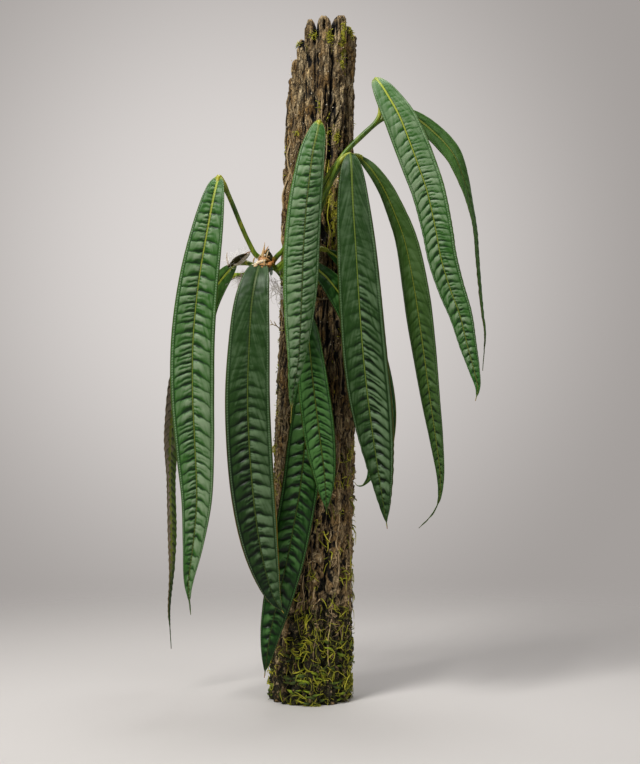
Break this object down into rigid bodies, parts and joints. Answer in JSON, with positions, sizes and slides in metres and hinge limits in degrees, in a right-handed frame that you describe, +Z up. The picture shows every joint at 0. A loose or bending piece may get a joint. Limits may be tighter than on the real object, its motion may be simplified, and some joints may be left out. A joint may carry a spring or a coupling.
{
  "type": "anthurium lutheri mounted on a weathered wood post",
  "caption": "Climbing aroid with long hanging puckered strap leaves, rooted high on the front of an upright mossy post of weathered fibrous wood that stands on its flat sawn foot.",
  "frame": {"origin": "centre of the post's flat foot, on the surface it stands on", "axes": "+Z up along the post, -Y towards the side the plant hangs on, +X to the right of a viewer in front of it"},
  "size_m": [0.4458, 0.1883, 0.942],
  "materials": {
    "bark": "dry weathered fibrous wood with dark grooves and yellow-green moss",
    "stem": "dull green-brown stem with pale root hairs",
    "sheath": "dry papery brown",
    "leaf": "satin dark green with a yellow-green midrib"
  },
  "bodies": {
    "root": {"post": "bark", "stem": "stem", "sheaths": "sheath", "leaf_left_front": "leaf", "leaf_left_middle": "leaf", "leaf_left_back": "leaf", "leaf_centre_left": "leaf", "leaf_centre_front": "leaf", "leaf_right_front": "leaf", "leaf_right_side": "leaf", "leaf_upper_right": "leaf", "leaf_far_right": "leaf", "leaf_lower_middle": "leaf", "leaf_lower_back": "leaf", "leaf_behind_upper": "leaf", "leaf_behind_middle": "leaf", "leaf_behind_lower": "leaf"}
  },
  "joints": []
}
